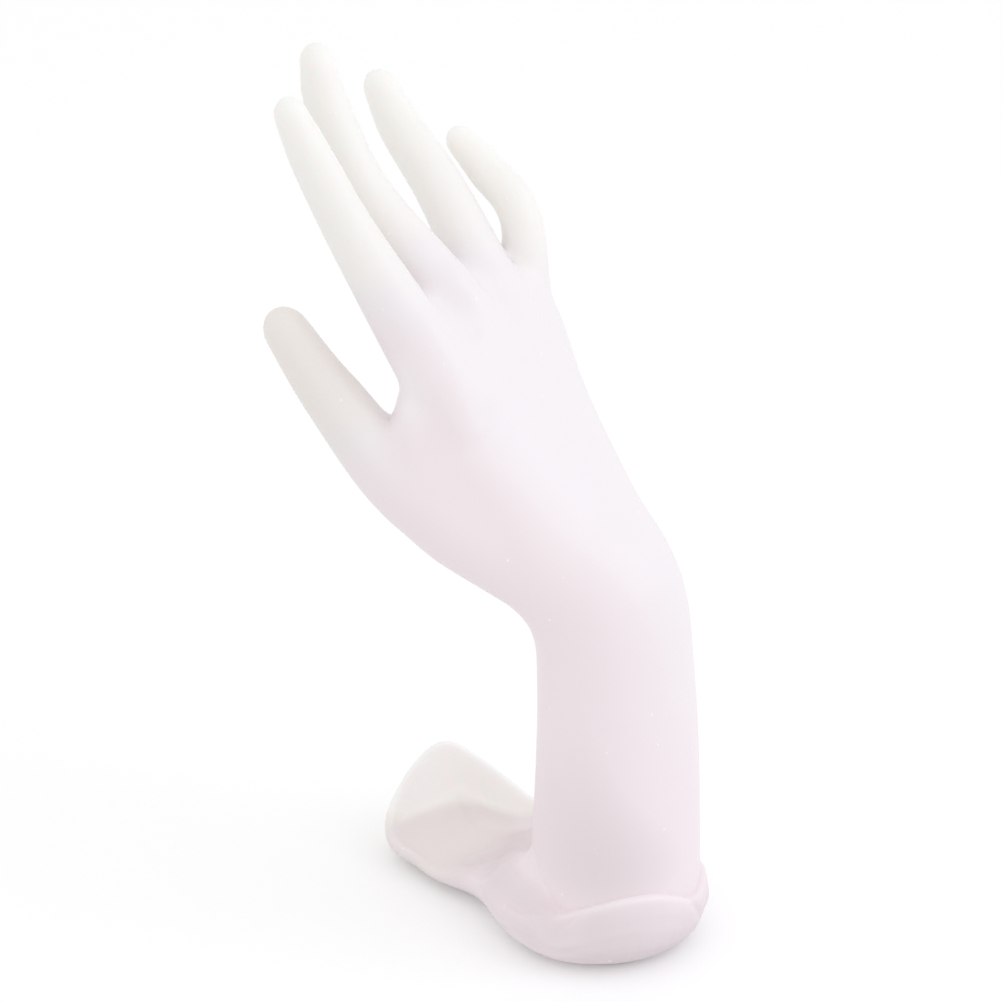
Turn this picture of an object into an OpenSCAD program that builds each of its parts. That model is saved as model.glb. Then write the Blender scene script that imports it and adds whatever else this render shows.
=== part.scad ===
// Jewelry stand: a cast resin hand on a draped base with a ring dish.
// The forearm stands on the origin, the palm and the dish face -X, the thumb is on -Y.

/* [Hand pose] */
// Height of the wrist joint above the table
wrist_height = 98; // [80:1:130]
// Bend of the wrist towards the palm
wrist_bend = 35; // [0:1:50]
// Lean of the hand towards the thumb
wrist_lean = 4; // [-10:1:20]
// Turn of the hand about its own length
wrist_turn = 7; // [-20:1:20]

/* [Forearm and palm] */
// Diameter of the forearm at its foot
foot_d = 46.5; // [40:0.5:60]
// Width of the wrist across the hand
wrist_width = 46; // [40:0.5:60]
// Thickness of the wrist from palm to back
wrist_depth = 38.5; // [28:0.5:46]
// Width of the heel of the hand
heel_width = 55; // [46:0.5:70]
// Thickness of the heel of the hand
heel_depth = 33; // [24:0.5:44]
// Width of the hand across the knuckles
knuckle_width = 64; // [54:0.5:80]
// Thickness of the hand at the knuckles
knuckle_depth = 23; // [16:0.5:32]
// How far the wrist sits towards the palm side
wrist_set = 3; // [0:0.5:6]
// How far the middle of the hand sits towards the palm side
palm_set = 4; // [0:0.5:8]
// Thickness of the skin between the fingers
web_depth = 12; // [8:0.5:20]
// Reach of the skin between the fingers past the knuckles
web_reach = 14; // [8:0.5:20]

/* [Index finger] */
// Knuckle from the wrist: along the hand, towards the little finger, towards the back
index_knuckle = [83, -20, -0.5]; // [-40:0.5:110]
// Lengths of the three bones
index_bones = [36, 22, 17.5]; // [10:0.5:60]
// Bends of the three joints towards the palm
index_bends = [1, -4, -3]; // [-40:1:60]
// Spread towards the little finger
index_spread = -2; // [-20:1:20]
// Thickness at the root, the knuckle, the two joints and the tip
index_girth = [16, 18, 13.5, 11.5, 9]; // [6:0.5:24]

/* [Middle finger] */
// Knuckle from the wrist: along the hand, towards the little finger, towards the back
middle_knuckle = [88, -1, 1]; // [-40:0.5:110]
// Lengths of the three bones
middle_bones = [39, 24.5, 18.5]; // [10:0.5:60]
// Bends of the three joints towards the palm
middle_bends = [11, -16, -15]; // [-40:1:60]
// Spread towards the little finger
middle_spread = 0; // [-20:1:20]
// Thickness at the root, the knuckle, the two joints and the tip
middle_girth = [13, 17.5, 13.5, 12, 9.5]; // [6:0.5:24]

/* [Ring finger] */
// Knuckle from the wrist: along the hand, towards the little finger, towards the back
ring_knuckle = [81, 16, 0]; // [-40:0.5:110]
// Lengths of the three bones
ring_bones = [36, 23, 17.5]; // [10:0.5:60]
// Bends of the three joints towards the palm
ring_bends = [3, 8, -7]; // [-40:1:60]
// Spread towards the little finger
ring_spread = 9; // [-20:1:20]
// Thickness at the root, the knuckle, the two joints and the tip
ring_girth = [13, 17, 14, 12, 9.5]; // [6:0.5:24]

/* [Little finger] */
// Knuckle from the wrist: along the hand, towards the little finger, towards the back
little_knuckle = [75, 30, -5]; // [-40:0.5:110]
// Lengths of the three bones
little_bones = [30, 17, 15]; // [10:0.5:60]
// Bends of the three joints towards the palm
little_bends = [-26, 39, 7]; // [-40:1:60]
// Spread towards the little finger
little_spread = 7; // [-20:1:20]
// Thickness at the root, the knuckle, the two joints and the tip
little_girth = [12, 14, 11.5, 10.5, 8.5]; // [6:0.5:24]

/* [Thumb] */
// Root from the wrist: along the hand, towards the little finger, towards the back
thumb_root = [18, -9, -5]; // [-60:0.5:120]
// Knuckle from the wrist, in the same three directions
thumb_knuckle = [53, -26, -20]; // [-60:0.5:120]
// Middle joint from the wrist, in the same three directions
thumb_joint = [84, -31, -25]; // [-60:0.5:120]
// Tip from the wrist, in the same three directions
thumb_tip = [112, -32.5, -27.5]; // [-60:0.5:120]
// Thickness at the heel, the root, the knuckle, the joint and the tip
thumb_girth = [30, 30, 22, 15, 11.5]; // [6:0.5:40]
// How far behind the index knuckle the skin between the thumb and the hand starts
thumb_web_behind = 1; // [0:0.5:30]
// How far past the thumb's knuckle that skin ends
thumb_web_past = 8; // [5:0.5:20]
// Thickness of that skin at the palm, the index finger, the thumb and the thumb's ball
thumb_web_girth = [26, 16, 12, 24]; // [6:0.5:40]

/* [Base] */
// Height of the floor that the forearm stands on
seat_height = 12; // [10:0.5:20]
// Gap between the forearm and the cuff
cuff_gap = 0.3; // [0.2:0.1:1]
// Thickness of the cuff at its middle
cuff_wall = 5.5; // [4:0.1:8]
// How far the cuff stands off the forearm's middle, towards the dish and towards the thumb
cuff_shift = [3, 2.5]; // [0:0.5:3]
// Height of the drape against the forearm
collar_height = 18.5; // [13:0.5:24]
// Thickness of the dish's rim
drape_wall = 3; // [2:0.1:5]
// Distance from the forearm to the middle of the dish
dish_reach = 56; // [50:1:90]
// Turn of the dish away from the thumb side
dish_turn = 6; // [-20:1:20]
// Half width of the dish
dish_radius = 20; // [16:0.5:28]
// Height of the dish's floor
dish_floor = 5; // [4:0.5:10]
// Squareness of the dish's end, 2 is round
dish_square = 2.6; // [2:0.1:5]
// Rise of the cuff's rim above the seat, from the far side round to the near side
cuff_rim = [3, 4.5, 6, 4.5, 8.5, 12, 11, 5.5, 2]; // [1:0.5:14]
// Rise of the near rim above the floor, from the cuff to the dish
near_rim = [-4.5, -4, 2.5]; // [-8:0.5:12]
// Rise of the dish's rim above its floor, from the near side round to the far side
end_rim = [2.5, 3, 8.5, 16.5, 20.5, 15, 11.5]; // [1:0.5:25]
// Rise of the far rim above the floor, from the dish to the cuff
far_rim = [11.5, 0.5, -3.5]; // [-8:0.5:25]
// Depth of the fold inside the near rim
fold_depth = 1.5; // [0:0.5:3]
// How far the drape draws in between the forearm and the dish
waist = 3; // [0:0.5:8]
// How far the foot of the base draws in under the rim
undercut = 9; // [2:0.5:10]

/* [Fixing] */
// Diameter of the screw
screw_d = 5; // [4:0.5:6]
// Length of the screw under its head
screw_length = 20; // [16:1:24]
// Diameter of the screw's head
screw_head_d = 9.5; // [8:0.5:11]
// Height of the screw's head
screw_head_h = 3.3; // [2.5:0.1:4]
// Width of the hex recess in the screw's head
screw_hex_d = 3; // [2:0.5:4]
// Depth of the hex recess
screw_hex_depth = 2; // [1:0.1:2.4]
// Outside diameter of the washers
washer_d = 10; // [9:0.5:12]
// Thickness of the flat washer
flat_washer_t = 1; // [0.8:0.1:1.5]
// Thickness of the spring washer
spring_washer_t = 1.3; // [1:0.1:1.6]
// Outside diameter of the threaded insert
insert_d = 8; // [7:0.1:10]
// Length of the threaded insert
insert_length = 10; // [8:0.5:14]
// Diameter of the spigot that centres the hand
spigot_d = 22; // [16:0.5:26]
// Height of the spigot
spigot_h = 6; // [4:0.5:8]
// Diameter of the locating pin
pin_d = 4; // [3:0.5:5]
// Length of the locating pin
pin_length = 12; // [8:0.5:14]
// Resin left between the washers and the seat
seat_web = 3.5; // [2:0.5:5]
// Gap round the washers
washer_gap = 1; // [0.3:0.1:2]
// Split in the spring washer
washer_split = 0.8; // [0.4:0.1:1.5]
// Length of each band round the insert
insert_band = 4; // [2:0.5:4]
// How much the insert narrows between its bands
insert_groove = 1; // [0.4:0.1:1.5]
// Room past the screw's tip
screw_room = 5; // [1:0.5:10]
// Gap round the screw past the insert
screw_gap = 0.5; // [0.2:0.1:1]
// Gap round each fixing
fit_gap = 0.1; // [0.05:0.05:0.2]

/* [Felt] */
// Thickness of the felt
felt_t = 1.5; // [1:0.1:3]
// How far the felt stands below the base
felt_proud = 0.3; // [0.1:0.1:0.8]
// Width of bare base round the felt
felt_margin = 3; // [2:0.5:6]

/* [Hidden] */
$fn = 64;
// How far a cut passes beyond the face it opens
cut = 1;
resin = "#f0dfe4";
brass = "#c9a45c";
steel = "#b8bcc0";
felt = "#e9e4e6";

// Curves
function lerp(a, b, t) = a + (b - a) * t;
function unit(v) = v / norm(v);
function clamp01(t) = max(0, min(1, t));
function ease(t) = let (c = clamp01(t)) c * c * (3 - 2 * c);
function catmull(a, b, c, d, t) = 0.5 * (2 * b + (c - a) * t + (2 * a - 5 * b + 4 * c - d) * t * t
    + (3 * b - a - 3 * c + d) * t * t * t);
function curve(list, t) = let (n = len(list) - 1, i = max(0, min(floor(t), n - 1)))
    catmull(list[max(i - 1, 0)], list[i], list[i + 1], list[min(i + 2, n)], t - i);
function slope(list, t) = let (n = len(list) - 1, e = 0.02)
    unit(curve(list, min(t + e, n)) - curve(list, max(t - e, 0)));

// A closed skin over rings of equal length, with a point at each end
module skin(rings, first, last) {
    n = len(rings[0]);
    m = len(rings);
    points = concat([for (r = rings) each r], [first, last]);
    sides = [for (j = [0:m - 2], i = [0:n - 1]) let (k = (i + 1) % n)
        each [[j * n + i, (j + 1) * n + k, j * n + k], [j * n + i, (j + 1) * n + i, (j + 1) * n + k]]];
    ends = [for (i = [0:n - 1]) let (k = (i + 1) % n)
        each [[m * n, i, k], [m * n + 1, (m - 1) * n + k, (m - 1) * n + i]]];
    polyhedron(points, concat(sides, ends));
}

// The hand's own directions: along it, towards its back and towards the little finger
wrist = [0, 0, wrist_height];
bent_along = [-sin(wrist_bend), 0, cos(wrist_bend)];
bent_back = [cos(wrist_bend), 0, sin(wrist_bend)];
hand_along = bent_along * cos(wrist_lean) - [0, sin(wrist_lean), 0];
leant_side = [0, cos(wrist_lean), 0] + bent_along * sin(wrist_lean);
hand_back = bent_back * cos(wrist_turn) + leant_side * sin(wrist_turn);
hand_side = leant_side * cos(wrist_turn) - bent_back * sin(wrist_turn);
function in_hand(p) = wrist + hand_along * p[0] + hand_side * p[1] + hand_back * p[2];

// A limb swept along joints, round in section, with a rounded tip
limb_sides = 18;
limb_steps = 5;
tip_steps = 4;
tip_stretch = 1.25;
function limb_ring(c, t, r) = let (b = unit(hand_back - t * (t * hand_back)), s = cross(t, b))
    [for (i = [0:limb_sides - 1]) let (a = 360 * i / limb_sides) c + (b * cos(a) + s * sin(a)) * r];
module limb(joints, girth) {
    n = len(joints) - 1;
    tip_r = girth[n] / 2;
    aim = unit(joints[n] - joints[n - 1]);
    ends = [for (i = [0:n]) i < n ? joints[i] : joints[n] - aim * tip_r * tip_stretch];
    body = [for (k = [0:n * limb_steps]) let (t = k / limb_steps)
        limb_ring(curve(ends, t), slope(ends, t), curve(girth, t) / 2)];
    tip = [for (k = [1:tip_steps - 1]) let (a = 90 * k / tip_steps)
        limb_ring(ends[n] + aim * tip_r * tip_stretch * sin(a), aim, tip_r * cos(a))];
    skin(concat(body, tip), joints[0], joints[n]);
}

// The joints of a finger, from a root inside the palm to its tip
root_depth = 24;
root_spread = 0.95;
root_sink = 2;
function bone(from, spread, bend, length) = from + length
    * ((hand_along * cos(spread) + hand_side * sin(spread)) * cos(bend) - hand_back * sin(bend));
function finger(knuckle, bones, bends, spread) = let (
    a = in_hand(knuckle),
    b = bone(a, spread, bends[0], bones[0]),
    c = bone(b, spread, bends[0] + bends[1], bones[1]),
    d = bone(c, spread, bends[0] + bends[1] + bends[2], bones[2]),
    root = in_hand([knuckle[0] - root_depth, knuckle[1] * root_spread, knuckle[2] - root_sink]))
    [root, a, b, c, d];

// Forearm: share of the way up to the wrist, then how much of the wrist's set, width and depth it has there
arm_rows = [
    [0, 0, 0, 0],
    [0.25, 0, 0.1, 0.2],
    [0.5, 0, 0.4, 0.5],
    [0.76, 0.33, 0.8, 0.85],
    [1.02, 1.4, 1, 1],
];
// Palm: share of the way to the knuckles, then how much of their middle, width and depth it has there
palm_rows = [[0.28, 0.2, 0, 0], [0.62, 0.7, 0.6, 0.6]];
// Knuckles and the skin past them, as shares of the palm's length and of the reach of that skin
knuckle_share = 0.9;
web_share = 0.5;
web_narrow = 0.9;
web_sink = [1, 2, 3];
palm_middle = (index_knuckle[1] + little_knuckle[1]) / 2;
palm_length = middle_knuckle[0];
arm_rise = wrist_height - seat_height;
stations = concat(
    [for (a = arm_rows) [-wrist_set * a[1], 0, seat_height + arm_rise * a[0]]],
    [for (p = palm_rows) in_hand([palm_length * p[0], palm_middle * p[1], -palm_set])],
    [in_hand([palm_length * knuckle_share, palm_middle, -web_sink[0]])],
    [in_hand([palm_length + web_reach * web_share, palm_middle, -web_sink[1]])]);
halves = concat(
    [for (a = arm_rows) [lerp(foot_d, wrist_width, a[2]), lerp(foot_d, wrist_depth, a[3])] / 2],
    [for (p = palm_rows) [lerp(heel_width, knuckle_width, p[2]), lerp(heel_depth, knuckle_depth, p[3])] / 2],
    [[knuckle_width, knuckle_depth] / 2],
    [[knuckle_width * web_narrow, web_depth] / 2]);

// The rings of the arm turn from the table's directions to the hand's around the wrist
arm_sides = 32;
arm_steps = 4;
turn_first = 2.5;
turn_last = 5;
function arm_ring(t) = let (
    k = slope(stations, t),
    side = unit(lerp([0, 1, 0], hand_side, ease((t - turn_first) / (turn_last - turn_first)))),
    s = unit(side - k * (k * side)),
    b = cross(s, k),
    c = curve(stations, t),
    h = curve(halves, t))
    [for (i = [0:arm_sides - 1]) let (a = 360 * i / arm_sides) c + s * h[0] * cos(a) - b * h[1] * sin(a)];
module arm_and_palm() {
    n = len(stations) - 1;
    web_end = in_hand([palm_length + web_reach, palm_middle, -web_sink[2]]);
    skin([for (k = [0:n * arm_steps]) arm_ring(k / arm_steps)], stations[0], web_end);
}

// The thumb, from the wrist to its tip, and the places that the skin between it and the hand spans
thumb = [wrist, for (p = [thumb_root, thumb_knuckle, thumb_joint, thumb_tip]) in_hand(p)];
web_lean = 0.34;
web_palm_share = 0.35;
web_ball_share = 0.35;
web_sides = 28;
web_index = lerp(index_knuckle - [thumb_web_behind, 0, 0], thumb_knuckle, web_lean);
web_thumb = thumb_knuckle + unit(thumb_joint - thumb_knuckle) * thumb_web_past;
thumb_web = [
    lerp(thumb_root, web_index, web_palm_share),
    web_index,
    web_thumb,
    lerp(thumb_root, thumb_knuckle, web_ball_share),
];
module thumb_skin() {
    hull() {
        translate(in_hand(thumb_knuckle)) sphere(d = thumb_girth[2], $fn = web_sides);
        for (i = [0:len(thumb_web) - 1])
            translate(in_hand(thumb_web[i])) sphere(d = thumb_web_girth[i], $fn = web_sides);
    }
}

// Levels of the fixing, from the table up
recess_top = felt_t;
stack_top = seat_height - seat_web;
head_top = stack_top - flat_washer_t - spring_washer_t;
head_bottom = head_top - screw_head_h;
screw_top = head_top + screw_length;
socket_top = seat_height + spigot_h + fit_gap;
pin_place = [(spigot_d + foot_d) / 4, 0, seat_height];
screw_hole_d = screw_d + 2 * fit_gap;

// A hole that opens downwards at a level
module hole(d, bottom, top) {
    translate([0, 0, bottom - cut]) cylinder(d = d, h = top - bottom + cut);
}

module pin_hole() {
    translate(pin_place) cylinder(d = pin_d + 2 * fit_gap, h = pin_length + 2 * fit_gap, center = true);
}

module hand() {
    color(resin) difference() {
        union() {
            arm_and_palm();
            limb(finger(index_knuckle, index_bones, index_bends, index_spread), index_girth);
            limb(finger(middle_knuckle, middle_bones, middle_bends, middle_spread), middle_girth);
            limb(finger(ring_knuckle, ring_bones, ring_bends, ring_spread), ring_girth);
            limb(finger(little_knuckle, little_bones, little_bends, little_spread), little_girth);
            limb(thumb, thumb_girth);
            thumb_skin();
        }
        hole(spigot_d + 2 * fit_gap, seat_height, socket_top);
        hole(insert_d + 2 * fit_gap, seat_height, socket_top + insert_length);
        hole(screw_d + 2 * screw_gap, seat_height, screw_top + screw_room);
        pin_hole();
    }
}

// The base's outline: a round end at the forearm, two sides and a squarish end at the dish
cuff_steps = 24;
side_steps = 16;
dish_steps = 20;
outline_count = cuff_steps + dish_steps + 2 * side_steps;
far_waist = waist / 3;
cuff_radius = foot_d / 2 + cuff_gap + cuff_wall;
cuff_middle = -cuff_shift;
spine = [-cos(dish_turn), sin(dish_turn)];
across = [-spine[1], spine[0]];

// Which run a point of the outline is on, cuff, near side, dish or far side, and its share along that run
function outline_run(i) = i <= cuff_steps ? [0, i / cuff_steps]
    : i < cuff_steps + side_steps ? [1, (i - cuff_steps) / side_steps]
    : i <= cuff_steps + side_steps + dish_steps ? [2, (i - cuff_steps - side_steps) / dish_steps]
    : [3, (outline_count - i) / side_steps];
function along_spine(q) = [0, q[1], 1, q[1]][q[0]];
function outline_angle(q) = [270 - 180 * q[1], 90, 90 - 180 * q[1], 270][q[0]];
function squarish(a) = pow(pow(abs(cos(a)), dish_square) + pow(abs(sin(a)), dish_square), -1 / dish_square);
function side_radius(s, draw) = lerp(cuff_radius, dish_radius, ease(s)) - draw * pow(sin(180 * s), 4);
function outline_radius(q) = q[0] == 0 ? cuff_radius
    : q[0] == 1 ? side_radius(q[1], waist)
    : q[0] == 2 ? dish_radius
    : side_radius(q[1], far_waist);
function corner_stretch(q) = q[0] == 2 ? squarish(outline_angle(q)) : 1;
function floor_height(s) = lerp(collar_height, dish_floor,
    ease((s * dish_reach - foot_d / 2) / (dish_reach - cuff_radius)));
function rim_height(q) = q[0] == 0 ? seat_height + curve(cuff_rim, q[1] * (len(cuff_rim) - 1))
    : floor_height(along_spine(q)) + (q[0] == 1 ? curve(near_rim, q[1] * (len(near_rim) - 1))
    : q[0] == 2 ? curve(end_rim, q[1] * (len(end_rim) - 1))
    : curve(far_rim, (1 - q[1]) * (len(far_rim) - 1)));
function outline_point(q, inward, z) = let (
    a = outline_angle(q),
    r = (outline_radius(q) - inward) * corner_stretch(q),
    p = cuff_middle + spine * (along_spine(q) * dish_reach + r * cos(a)) + across * r * sin(a))
    [p[0], p[1], z];

// The fold between the rim and the collar, along the near side from the front of the cuff to the dish
fold_first = 0.8;
fold_fade = 0.4;
fold_last = 0.8;
function fold_share(q) = q[0] == 0 ? ease((q[1] - fold_first) / (1 - fold_first))
    : q[0] == 1 ? ease((fold_last - q[1]) / fold_fade) : 0;

// The drape's section, inward steps with heights: up the bulging outside, over the rim and across the floor
bulge_steps = 4;
bulge_out = 2.4;
bulge_up = 1.35;
bulge_top = 0.8;
rim_angles = [50, 90, 130];
rim_round = 0.64;
dish_undercut = 1.6;
fillet_cuff = 2;
fillet_dish = 6;
wall_rise = 0.5;
fillet_in = 0.35;
fillet_rise = 0.12;
floor_shares = [0.6, 0.9];
function drape_section(q) = let (
    s = along_spine(q),
    r = outline_radius(q),
    h = rim_height(q),
    f = floor_height(s),
    u = undercut * lerp(1, dish_undercut, s),
    fillet = lerp(fillet_cuff, fillet_dish, ease(s * 2)),
    valley = fold_depth * fold_share(q))
    concat(
        [for (k = [0:bulge_steps]) let (t = k / bulge_steps)
            [u * pow(1 - t, bulge_out), lerp(felt_proud, h, bulge_top * pow(t, bulge_up))]],
        [for (a = rim_angles) [drape_wall * (1 - cos(a)) / 2, h - drape_wall * rim_round * (1 - sin(a))]],
        [[drape_wall, lerp(f, h, wall_rise) - valley]],
        [[drape_wall + fillet * fillet_in, lerp(f, h, fillet_rise) - valley]],
        [[drape_wall + fillet, f]],
        [for (share = floor_shares) [r * share, f]]);

// A closed skin over columns that run round the outline, with a ladder of faces across its foot and its floor
module drape_skin(columns) {
    n = outline_count;
    m = len(columns[0]);
    points = [for (j = [0:m - 1], i = [0:n - 1]) columns[i][j]];
    sides = [for (j = [0:m - 2], i = [0:n - 1]) let (k = (i + 1) % n)
        each [[j * n + i, j * n + k, (j + 1) * n + k], [j * n + i, (j + 1) * n + k, (j + 1) * n + i]]];
    ladder = [for (k = [0:side_steps - 1]) let (
        a = cuff_steps + k,
        c = (n - k) % n,
        d = n - k - 1)
        each [[a, d, a + 1], [a, c, d]]];
    dish_first = cuff_steps + side_steps;
    cuff_fan = [for (i = [1:cuff_steps - 1]) [0, i + 1, i]];
    dish_fan = [for (i = [1:dish_steps - 1]) [dish_first, dish_first + i + 1, dish_first + i]];
    lower = concat(ladder, cuff_fan, dish_fan);
    upper = [for (t = lower) [for (v = [t[2], t[1], t[0]]) v + (m - 1) * n]];
    polyhedron(points, concat(sides, lower, upper));
}

module drape() {
    drape_skin([for (i = [0:outline_count - 1]) let (q = outline_run(i))
        [for (p = drape_section(q)) outline_point(q, p[0], p[1])]]);
}

module felt_outline(margin) {
    polygon([for (i = [0:outline_count - 1]) let (
        q = outline_run(i),
        p = outline_point(q, drape_section(q)[0][0] + margin, 0))
        [p[0], p[1]]]);
}

module draped_base() {
    color(resin) difference() {
        union() {
            difference() {
                drape();
                translate([0, 0, seat_height]) cylinder(d = foot_d + 2 * cuff_gap, h = wrist_height);
            }
            translate([0, 0, seat_height - cut]) cylinder(d = spigot_d, h = spigot_h + cut);
        }
        translate([0, 0, -cut]) linear_extrude(recess_top + cut) felt_outline(felt_margin - fit_gap);
        hole(washer_d + 2 * washer_gap, 0, stack_top);
        hole(screw_hole_d, 0, socket_top + cut);
        pin_hole();
    }
}

module threaded_insert() {
    color(brass) translate([0, 0, socket_top]) difference() {
        union() {
            cylinder(d = insert_d - insert_groove, h = insert_length);
            for (z = [0, insert_length - insert_band])
                translate([0, 0, z]) cylinder(d = insert_d, h = insert_band);
        }
        hole(screw_hole_d, 0, insert_length + cut);
    }
}

module fixing_screw() {
    color(steel) difference() {
        union() {
            translate([0, 0, head_top]) cylinder(d = screw_d, h = screw_length);
            translate([0, 0, head_bottom]) cylinder(d = screw_head_d, h = screw_head_h);
        }
        translate([0, 0, head_bottom - cut]) cylinder(d = screw_hex_d, h = screw_hex_depth + cut, $fn = 6);
    }
}

module washer(thickness) {
    difference() {
        cylinder(d = washer_d, h = thickness);
        hole(screw_hole_d, 0, thickness + cut);
    }
}

split_slant = 30;
module spring_washer() {
    color(steel) translate([0, 0, head_top]) difference() {
        washer(spring_washer_t);
        rotate([split_slant, 0, 0]) translate([0, -washer_split / 2, -washer_d])
            cube([washer_d, washer_split, 2 * washer_d]);
    }
}

module flat_washer() {
    color(steel) translate([0, 0, head_top + spring_washer_t]) washer(flat_washer_t);
}

module locating_pin() {
    color(steel) translate(pin_place) cylinder(d = pin_d, h = pin_length, center = true);
}

module felt_pad() {
    color(felt) linear_extrude(felt_t) felt_outline(felt_margin);
}

hand();
draped_base();
threaded_insert();
fixing_screw();
spring_washer();
flat_washer();
locating_pin();
felt_pad();
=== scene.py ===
import math

import bpy
import numpy as np
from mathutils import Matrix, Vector, noise
from mathutils.bvhtree import BVHTree


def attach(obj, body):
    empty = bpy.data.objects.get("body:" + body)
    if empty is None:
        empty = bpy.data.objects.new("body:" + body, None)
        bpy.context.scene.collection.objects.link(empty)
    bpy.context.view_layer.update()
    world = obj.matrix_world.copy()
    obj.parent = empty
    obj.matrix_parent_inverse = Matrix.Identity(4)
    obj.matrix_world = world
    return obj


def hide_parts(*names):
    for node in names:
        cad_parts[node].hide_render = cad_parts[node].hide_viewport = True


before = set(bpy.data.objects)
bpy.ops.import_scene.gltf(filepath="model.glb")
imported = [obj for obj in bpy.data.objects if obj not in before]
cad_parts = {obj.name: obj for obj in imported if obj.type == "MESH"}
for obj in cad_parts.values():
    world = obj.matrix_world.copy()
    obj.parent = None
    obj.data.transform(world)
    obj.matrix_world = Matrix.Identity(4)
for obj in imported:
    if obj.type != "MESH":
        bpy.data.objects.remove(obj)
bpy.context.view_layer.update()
print("frame loaded:", ", ".join(sorted(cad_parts)))

mm = 0.001  # the sizes below are in millimetres, as in the part's own drawing


# Small tools

def hexToLinear(code):
    shares = [int(code[i:i + 2], 16) / 255 for i in (1, 3, 5)]
    return tuple(c / 12.92 if c <= 0.04045 else ((c + 0.055) / 1.055) ** 2.4 for c in shares) + (1.0,)


def addNode(tree, kind, inputs=None, **settings):
    node = tree.nodes.new(kind)
    for name, value in settings.items():
        setattr(node, name, value)
    for socket, value in (inputs or {}).items():
        if isinstance(value, bpy.types.NodeSocket):
            tree.links.new(value, node.inputs[socket])
        else:
            node.inputs[socket].default_value = value
    return node


def selectOnly(piece):
    bpy.ops.object.select_all(action="DESELECT")
    piece.select_set(True)
    bpy.context.view_layer.objects.active = piece


def applyModifier(piece, kind, **settings):
    selectOnly(piece)
    modifier = piece.modifiers.new(kind.title(), kind)
    for name, value in settings.items():
        setattr(modifier, name, value)
    bpy.ops.object.modifier_apply(modifier=modifier.name)


def copyOfNode(node, name):
    piece = bpy.data.objects.new(name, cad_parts[node].data.copy())
    piece.data.name = name
    piece.data.materials.clear()
    bpy.context.scene.collection.objects.link(piece)
    selectOnly(piece)
    bpy.ops.object.mode_set(mode="EDIT")
    bpy.ops.mesh.select_all(action="SELECT")
    bpy.ops.mesh.remove_doubles(threshold=0.001 * mm)
    bpy.ops.object.mode_set(mode="OBJECT")
    return piece


def shadeSmooth(piece):
    selectOnly(piece)
    bpy.ops.object.shade_smooth()


def ease(t):
    t = np.clip(t, 0, 1)
    return t * t * (3 - 2 * t)


def fade(values, start, end):
    # 0 at the start and before it, 1 at the end and past it
    return ease((values - start) / (end - start))


def fromAxis(points):
    return np.hypot(points[:, 0], points[:, 1])


def aroundAxis(points):
    return np.degrees(np.arctan2(points[:, 1], points[:, 0]))


def viewDirection(azimuth, elevation):
    a = math.radians(azimuth)
    e = math.radians(elevation)
    return Vector((math.sin(a) * math.cos(e), -math.cos(a) * math.cos(e), math.sin(e)))


def readPoints(piece):
    flat = np.empty(len(piece.data.vertices) * 3)
    piece.data.vertices.foreach_get("co", flat)
    return flat.reshape(-1, 3) / mm


def writePoints(piece, points):
    piece.data.vertices.foreach_set("co", (points * mm).ravel())
    piece.data.update()


def readNormals(piece):
    flat = np.empty(len(piece.data.vertices) * 3)
    piece.data.vertex_normals.foreach_get("vector", flat)
    return flat.reshape(-1, 3)


def edgePairs(piece):
    flat = np.empty(len(piece.data.edges) * 2, dtype=np.int32)
    piece.data.edges.foreach_get("vertices", flat)
    return flat.reshape(-1, 2)


def neighbourMean(values, pairs):
    count = len(values)
    a, b = pairs.T
    degree = np.bincount(a, minlength=count) + np.bincount(b, minlength=count)
    columns = [np.bincount(a, column[b], count) + np.bincount(b, column[a], count) for column in values.T]
    return np.stack(columns, 1) / degree[:, None]


def fillCreases(piece, rounds, share=0.5):
    # Only hollows fill, so the fingers keep their thickness
    pairs = edgePairs(piece)
    points = readPoints(piece)
    for _ in range(rounds):
        normals = readNormals(piece)
        pull = ((neighbourMean(points, pairs) - points) * normals).sum(1)
        points += normals * (np.maximum(pull, 0) * share)[:, None]
        writePoints(piece, points)


def relax(piece, rounds, inward=0.5, outward=0.51):
    # A smoothing step in and a slightly longer step out, which keeps the volume
    pairs = edgePairs(piece)
    points = readPoints(piece)
    for _ in range(rounds):
        for step in (inward, -outward):
            points += (neighbourMean(points, pairs) - points) * step
    writePoints(piece, points)


def smoothWhere(piece, share, rounds):
    pairs = edgePairs(piece)
    points = readPoints(piece)
    for _ in range(rounds):
        points += (neighbourMean(points, pairs) - points) * share[:, None]
    writePoints(piece, points)


def smoothPath(points, steps=8):
    p = np.array(points, dtype=float)
    p = np.vstack([2 * p[0] - p[1], p, 2 * p[-1] - p[-2]])
    t = np.linspace(0, 1, steps, endpoint=False)[:, None]
    runs = []
    for a, b, c, d in zip(p, p[1:], p[2:], p[3:]):
        runs.append(0.5 * (2 * b + (c - a) * t + (2 * a - 5 * b + 4 * c - d) * t ** 2
                           + (3 * b - a - 3 * c + d) * t ** 3))
    return np.vstack(runs + [p[-2:-1]])


def lineDistance(flat, path):
    # Distance from a smooth line, and the share of the line that lies before the nearest place
    line = smoothPath(path)
    nearest = np.full(len(flat), 1e6)
    along = np.zeros(len(flat))
    for i, (a, b) in enumerate(zip(line, line[1:])):
        run = b - a
        t = np.clip(((flat - a) @ run) / max(run @ run, 1e-9), 0, 1)
        away = np.linalg.norm(flat - a - t[:, None] * run, axis=1)
        closer = away < nearest
        nearest[closer] = away[closer]
        along[closer] = (i + t[closer]) / (len(line) - 1)
    return nearest, along


def rise(flat, path, width, ends=0.25):
    # A soft ridge over a line, which runs out at both ends, or a round swelling where ends is 0
    away, along = lineDistance(flat, path)
    swell = np.exp(-(away / width) ** 2)
    return swell * ease(along / ends) * ease((1 - along) / ends) if ends else swell


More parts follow.
